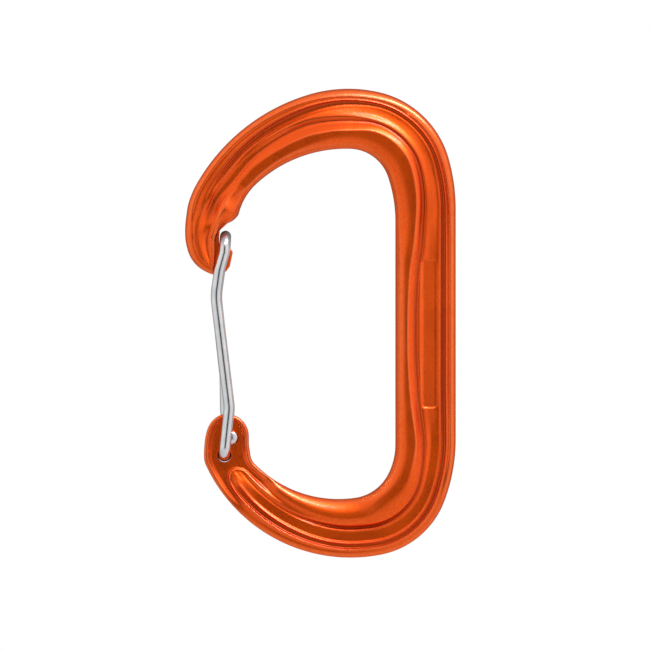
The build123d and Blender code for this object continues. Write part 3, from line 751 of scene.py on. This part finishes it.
def tube(name, path, radii, segments=48):
    """Round bar along path with a radius at each of its points, closed at both ends."""
    tangents = np.gradient(path, axis=0)
    tangents[0], tangents[-1] = path[1] - path[0], path[-1] - path[-2]
    tangents /= np.linalg.norm(tangents, axis=1)[:, None]
    normal = np.cross(tangents[0], (1.0, 0.0, 0.0))
    normal /= np.linalg.norm(normal)
    ring = []
    for i, (p, t) in enumerate(zip(path, tangents)):
        normal = normal - t * (normal @ t)
        normal /= np.linalg.norm(normal)
        side = np.cross(t, normal)
        for k in range(segments):
            a = 2 * math.pi * k / segments
            ring.append((p + radii[i] * (math.cos(a) * normal + math.sin(a) * side)) * MM)
    piece = new_mesh(name, ring, ring_faces(len(path), segments))
    clean(piece, TUBE_MERGE)
    return piece


def gate_half(name, side, bends, end):
    """One leg with its half of the loop, its journal and its domed head; side is the sign of Y."""
    points = [(CROWN[0], 0.0, CROWN[1]), (CROWN[0], side * LEG_Y, CROWN[1])]
    radii = [CROWN_ROUND]
    for x, z, radius in UPPER_BENDS + bends:
        points.append((x, side * LEG_Y, z))
        radii.append(radius)
    points.append((end[0], side * LEG_Y, end[1]))
    radii.append(HOLE_ROUND)
    seat = EYE_FLOOR + HEAD_SEAT
    points.append((end[0], -side * (seat - HEAD_SUNK), end[1]))
    path = filleted(points, radii)
    long_runs = [path[0]]
    for a, b in zip(path[:-1], path[1:]):
        runs = max(1, int(np.linalg.norm(b - a) / LONGEST_RUN))
        for i in range(1, runs + 1):
            long_runs.append(a + (b - a) * i / runs)
    path = np.array(long_runs)
    radius = np.full(len(path), WIRE_RADIUS)
    head, head_radii = [], []
    for depth, r in HEAD_ROUND:
        head.append((end[0], -side * (seat - HEAD_SUNK + depth), end[1]))
        head_radii.append(r)
    for t in np.linspace(DOME_FROM, 1.0, DOME_RINGS):
        rise = HEAD_RIM + (HEAD_HEIGHT - HEAD_RIM) * math.sin(t * math.pi / 2)
        head.append((end[0], -side * (seat + rise), end[1]))
        head_radii.append(HEAD_RADIUS * math.cos(t * math.pi / 2 * DOME_CLOSED))
    path = np.vstack([path, head])
    radius = np.r_[radius, head_radii]
    return tube(name, path, radius)


gate_front = gate_half("gate_wire_front_half", -1, FRONT_BENDS, FRONT_END)
gate_rear = gate_half("gate_wire_rear_half", 1, REAR_BENDS, REAR_END)
for piece in (gate_front, gate_rear):
    smooth(piece, WIRE_SHARP)


# ------------------------------------------------------------------------------------ materials
class Graph:
    """Short calls that add nodes to one node tree."""

    def __init__(self, tree):
        self.nodes, self.links = tree.nodes, tree.links

    def add(self, kind, inputs=None, **settings):
        made = self.nodes.new("ShaderNode" + kind)
        for key, value in settings.items():
            setattr(made, key, value)
        for key, value in (inputs or {}).items():
            self.put(value, made.inputs[key])
        return made

    def put(self, value, socket):
        if isinstance(value, bpy.types.NodeSocket):
            self.links.new(value, socket)
        else:
            socket.default_value = value

    def math(self, operation, a, b=0.0, clamp=False):
        return self.add("Math", {0: a, 1: b}, operation=operation, use_clamp=clamp).outputs[0]

    def ramp(self, value, low, high, out_low, out_high):
        """Smooth change from out_low to out_high while value goes from low to high."""
        inputs = {
            "Value": value, "From Min": low, "From Max": high, "To Min": out_low, "To Max": out_high,
        }
        return self.add("MapRange", inputs, interpolation_type="SMOOTHSTEP").outputs[0]

    def noise(self, place, size_mm, detail=2.0, roughness=0.5):
        """Noise whose lumps are about size_mm across."""
        inputs = {
            "Vector": place, "Scale": 1 / (size_mm * MM), "Detail": detail, "Roughness": roughness,
        }
        return self.add("TexNoise", inputs).outputs["Fac"]

    def mix(self, share, a, b):
        made = self.add("Mix", {0: share}, data_type="RGBA")
        self.put(a, made.inputs[6])
        self.put(b, made.inputs[7])
        return made.outputs[2]

    def bump(self, height, distance_mm, strength, normal=None):
        inputs = {"Height": height, "Distance": distance_mm * MM, "Strength": strength}
        if normal is not None:
            inputs["Normal"] = normal
        return self.add("Bump", inputs).outputs[0]


def material(name):
    """New material, the short calls for its nodes, and its shader."""
    made = bpy.data.materials.new(name)
    made.use_nodes = True
    return made, Graph(made.node_tree), made.node_tree.nodes["Principled BSDF"]


# Bead-blasted, dyed and sealed aluminium: fine pits, cloudy dye, grooves darker as painted shade,
# crests and edges paler as rubbed wear and painted highlight, and smoother, with a few nicks.
DYE_THICK, DYE_THIN = (0.88, 0.096, 0.001, 1), (0.95, 0.113, 0.0015, 1)
DYE_IN_PITS, SHADE_IN_GROOVES = (0.82, 0.086, 0.001, 1), (0.4, 0.045, 0.002, 1)
DYE_RUBBED_AND_HIGHLIGHT = (1.0, 0.24, 0.07, 1)
anodised, g, shader = material("orange_anodised_aluminium")
place = g.add("TexCoord").outputs["Object"]
pits = g.noise(place, 0.45, 3.0, 0.65)
grain = g.noise(place, 0.8, 2.0, 0.6)
clouds = g.noise(place, 9.0, 3.0, 0.5)
nicks = g.noise(place, 1.6, 4.0, 0.75)
lift = g.add("Attribute", attribute_name="relief").outputs["Fac"]
groove_shade = g.ramp(lift, -0.04, -0.2, 0.0, 1.0)
crest = g.ramp(lift, 0.04, 0.22, 0.0, 1.0)
rubbed_and_highlight = g.math("MULTIPLY", crest, g.ramp(nicks, 0.3, 0.6, 0.45, 1.0))
dye = g.mix(g.ramp(clouds, 0.35, 0.65, 0.0, 1.0), DYE_THICK, DYE_THIN)
dye = g.mix(g.ramp(pits, 0.35, 0.65, 0.0, 1.0), DYE_IN_PITS, dye)
# Painted shade: the grooves are made darker, as if less light reached into them.
dye = g.mix(g.math("MULTIPLY", groove_shade, 0.7), dye, SHADE_IN_GROOVES)
# Partly rubbed wear, partly painted highlight: the crests are made paler and peach.
dye = g.mix(g.math("MULTIPLY", rubbed_and_highlight, 0.35), dye, DYE_RUBBED_AND_HIGHLIGHT)
g.put(dye, shader.inputs["Base Color"])
rough = g.math("ADD", g.ramp(pits, 0.3, 0.7, 0.43, 0.33), g.ramp(clouds, 0.3, 0.7, -0.02, 0.02))
rough = g.math("SUBTRACT", rough, g.math("MULTIPLY", rubbed_and_highlight, 0.08))
g.put(rough, shader.inputs["Roughness"])
shader.inputs["Metallic"].default_value = 1.0
shader.inputs["Specular Tint"].default_value = (1.0, 0.42, 0.2, 1)
shader.inputs["Coat Weight"].default_value = 0.33
shader.inputs["Coat IOR"].default_value = 1.5
shader.inputs["Coat Roughness"].default_value = 0.24
blasted = g.bump(grain, 0.05, 0.4)
blasted = g.bump(pits, 0.05, 0.6, blasted)
g.put(blasted, shader.inputs["Normal"])

# Drawn and polished stainless wire: fine lines along the wire, smudges, short scratches, and
# painted shade, near black and rougher, on the top of the loop where it sits under the hook.
STEEL_DULL, STEEL_BRIGHT = (0.66, 0.67, 0.69, 1), (0.76, 0.76, 0.77, 1)
STEEL_LINES, STEEL_SHADE_UNDER_HOOK = (0.5, 0.51, 0.53, 1), (0.09, 0.095, 0.11, 1)
SHADE_FROM, SHADE_TO = -0.0215, -0.0185  # heights in metres between which the painted shade sets in
steel, g, shader = material("drawn_stainless_wire")
place = g.add("TexCoord").outputs["Object"]
along = g.add("Mapping", {"Vector": place, "Scale": (1.0, 1.0, 0.04)}).outputs[0]
lines = g.noise(along, 0.16, 2.0, 0.6)
smudges = g.noise(place, 3.5, 3.0, 0.6)
across = {"Vector": place, "Rotation": (0.5, 0.9, 0.3), "Scale": (1.0, 0.08, 1.0)}
scratches = g.noise(g.add("Mapping", across).outputs[0], 0.22, 3.0, 0.7)
heights = g.add("SeparateXYZ", {0: place}).outputs[2]
at_loop = g.ramp(heights, SHADE_FROM, SHADE_TO, 0.0, 1.0)
shade_under_hook = g.math("MULTIPLY", at_loop, g.ramp(smudges, 0.35, 0.6, 0.7, 1.0))
tone = g.mix(g.ramp(smudges, 0.35, 0.65, 0.0, 1.0), STEEL_DULL, STEEL_BRIGHT)
tone = g.mix(g.ramp(lines, 0.35, 0.7, 0.0, 0.3), tone, STEEL_LINES)
# Painted shade: the top of the loop under the hook is made nearly black.
tone = g.mix(g.math("MULTIPLY", shade_under_hook, 0.85), tone, STEEL_SHADE_UNDER_HOOK)
g.put(tone, shader.inputs["Base Color"])
rough = g.math("ADD", g.ramp(smudges, 0.3, 0.7, 0.13, 0.2), g.ramp(scratches, 0.55, 0.75, 0.0, 0.12))
rough = g.math("ADD", rough, g.math("MULTIPLY", shade_under_hook, 0.3))
g.put(rough, shader.inputs["Roughness"])
shader.inputs["Metallic"].default_value = 1.0
drawn = g.bump(lines, 0.006, 0.35)
drawn = g.bump(scratches, 0.006, 0.25, drawn)
g.put(drawn, shader.inputs["Normal"])

for piece, finish in ((carabiner_body, anodised), (gate_front, steel), (gate_rear, steel)):
    piece.data.materials.clear()
    piece.data.materials.append(finish)

# ------------------------------------------------------------------------------ frame and riders
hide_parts("body")
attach(carabiner_body, "frame")
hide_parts("gate_wire_front")
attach(gate_front, "gate_front")
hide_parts("gate_wire_rear")
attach(gate_rear, "gate_rear")

# ------------------------------------------------------------------------------ floor and light
FLOOR_RADIUS, FLOOR_LEVEL, FLOOR_SIDES = 0.5, -0.3, 96  # metres
turns = np.linspace(0, 2 * math.pi, FLOOR_SIDES + 1)[:-1]
rim = [(FLOOR_RADIUS * math.cos(a), FLOOR_RADIUS * math.sin(a), FLOOR_LEVEL) for a in turns]
floor = new_mesh("floor", rim, [tuple(range(FLOOR_SIDES))])
PAPER_DARK, PAPER_LIGHT = (0.55, 0.55, 0.55, 1), (0.59, 0.59, 0.585, 1)
pale, g, shader = material("pale_floor")
paper = g.noise(g.add("TexCoord").outputs["Object"], 1.2, 4.0, 0.6)
fibres = g.mix(g.ramp(paper, 0.3, 0.7, 0.0, 1.0), PAPER_DARK, PAPER_LIGHT)
g.put(fibres, shader.inputs["Base Color"])
g.put(g.ramp(paper, 0.3, 0.7, 0.85, 0.95), shader.inputs["Roughness"])
g.put(g.bump(paper, 0.05, 0.3), shader.inputs["Normal"])
floor.data.materials.append(pale)
floor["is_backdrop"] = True

# Reflections see a white studio tent that is brightest above and to the right, dim below and
# behind, and dark where the camera and the person behind it stand. The camera sees plain white.
CAMERA_DARK = 0.87
world = bpy.data.worlds.new("studio")
world.use_nodes = True
scene.world = world
world.node_tree.nodes.clear()
g = Graph(world.node_tree)
direction = g.add("TexCoord").outputs["Generated"]
dx, dy, dz = g.add("SeparateXYZ", {0: direction}).outputs
ahead = g.ramp(g.math("ABSOLUTE", dx), 0.18, 0.34, 1, 0)
level = g.math("MULTIPLY", g.ramp(dz, -0.4, -0.15, 0, 1), g.ramp(dz, 0.3, 0.6, 1, 0))
dark = g.math("MULTIPLY", g.math("MULTIPLY", ahead, level), g.ramp(dy, -0.2, -0.6, 0, 1))
tent = g.math("ADD", g.ramp(dz, -0.7, 1.0, 0.54, 0.87), g.ramp(dx, -0.1, 1.0, 0.0, 0.35))
tent = g.math("ADD", tent, g.ramp(dx, -0.15, -0.8, 0.0, 0.26))
tent = g.math("MULTIPLY", tent, g.ramp(dy, -0.1, 0.8, 1.0, 0.45))
tent = g.math("MULTIPLY", tent, g.math("SUBTRACT", 1.0, g.math("MULTIPLY", dark, CAMERA_DARK)))
reflected = g.add("Background", {"Strength": tent, "Color": (1, 1, 1, 1)})
seen = g.add("Background", {"Strength": 1.0, "Color": (1, 1, 1, 1)})
is_camera = g.add("LightPath").outputs["Is Camera Ray"]
choose = g.add("MixShader", {0: is_camera, 1: reflected.outputs[0], 2: seen.outputs[0]})
g.add("OutputWorld", {0: choose.outputs[0]})


low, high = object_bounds()
studio_centre = (low + high) / 2
SOFTBOX_PLACE, SOFTBOX_SIZE, SOFTBOX_POWER = Vector((0.4, -0.5, 0.77)), (0.9, 0.06), 11.5


def softbox(name, colour, lit):
    """Lamp up to the right in front that lights only the given pieces; all stand at one place."""
    lamp = bpy.data.lights.new(name, "AREA")
    lamp.shape = "RECTANGLE"
    lamp.size, lamp.size_y = SOFTBOX_SIZE
    lamp.energy = SOFTBOX_POWER
    lamp.color = colour
    thing = bpy.data.objects.new(name, lamp)
    thing.location = studio_centre + SOFTBOX_PLACE
    thing.rotation_mode = "QUATERNION"
    thing.rotation_quaternion = (-SOFTBOX_PLACE).to_track_quat("-Z", "Y")
    scene.collection.objects.link(thing)
    group = bpy.data.collections.new(name + "_lit")
    for piece in lit:
        group.objects.link(piece)
    thing.light_linking.receiver_collection = group


# The body's lamp is tinted cool, so that its glints stay pale on the warm dye as in the photo.
# The wire and the floor show a tint, so their lamp is neutral.
softbox("softbox_body", (0.78, 0.72, 1.5), [carabiner_body])
softbox("softbox_wire", (0.9, 0.9, 0.92), [gate_front, gate_rear, floor])

# ------------------------------------------------------------------------------------ camera
VIEW_CENTRE = (-3.88 * MM, -37.79 * MM)  # X and Z of the middle of the picture
VIEW_SPAN = 139.7 * MM
DISTANCE = 2.5
SENSOR_WIDTH, FAR_CLIP = 36, 20
camera_data = bpy.data.cameras.new("camera")
camera_data.sensor_width = SENSOR_WIDTH
camera_data.lens = SENSOR_WIDTH * DISTANCE / VIEW_SPAN
camera_data.clip_end = FAR_CLIP
camera = bpy.data.objects.new("camera", camera_data)
camera.location = (VIEW_CENTRE[0], -DISTANCE, VIEW_CENTRE[1])
camera.rotation_euler = (math.radians(90), 0, 0)
scene.collection.objects.link(camera)
scene.camera = camera
scene.view_settings.view_transform = "Standard"
